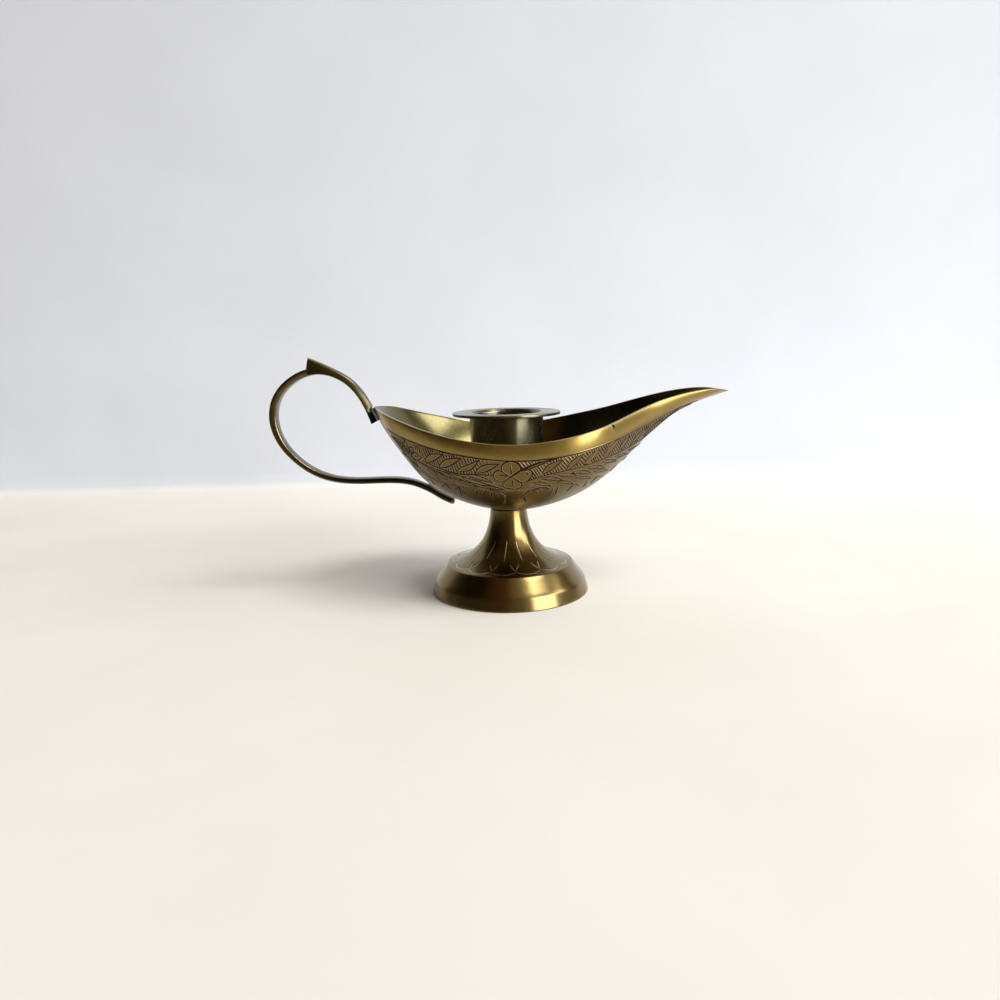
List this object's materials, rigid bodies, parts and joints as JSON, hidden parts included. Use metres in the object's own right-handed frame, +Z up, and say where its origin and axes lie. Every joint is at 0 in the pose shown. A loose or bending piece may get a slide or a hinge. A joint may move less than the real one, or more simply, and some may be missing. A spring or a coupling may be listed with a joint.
{
  "type": "genie lamp candle holder",
  "caption": "Brass candle holder shaped like an old oil lamp: boat bowl with pointed spout, looped strap handle, flanged taper socket and stepped turned foot.",
  "frame": {"origin": "centre of the overall outline on the table plane; the upright axis of foot, socket and clamp screw stands 2.2 mm towards the spout from it", "axes": "+Z up; +X towards the spout, with the handle at -X; the object is symmetric across the XZ plane"},
  "size_m": [0.1538, 0.0702, 0.0813],
  "materials": {
    "foot_brass": "turned, aged olive gold, satin polish",
    "bowl_brass": "aged olive gold, satin polish, engraved floral band with darkened cuts",
    "cup_brass": "turned and brushed round, aged",
    "handle_brass": "cast, dark aged gold, softly rubbed edges",
    "tin_solder": "dull grey soft solder",
    "steel_fixing": "brass-plated, worn and dull"
  },
  "bodies": {
    "root": {"foot": "foot_brass", "bowl": "bowl_brass", "candle_cup": "cup_brass", "handle": "handle_brass", "handle_solder_upper": "tin_solder", "handle_solder_lower": "tin_solder", "clamp_screw": "steel_fixing", "clamp_washer": "steel_fixing", "clamp_nut": "steel_fixing"}
  },
  "joints": []
}
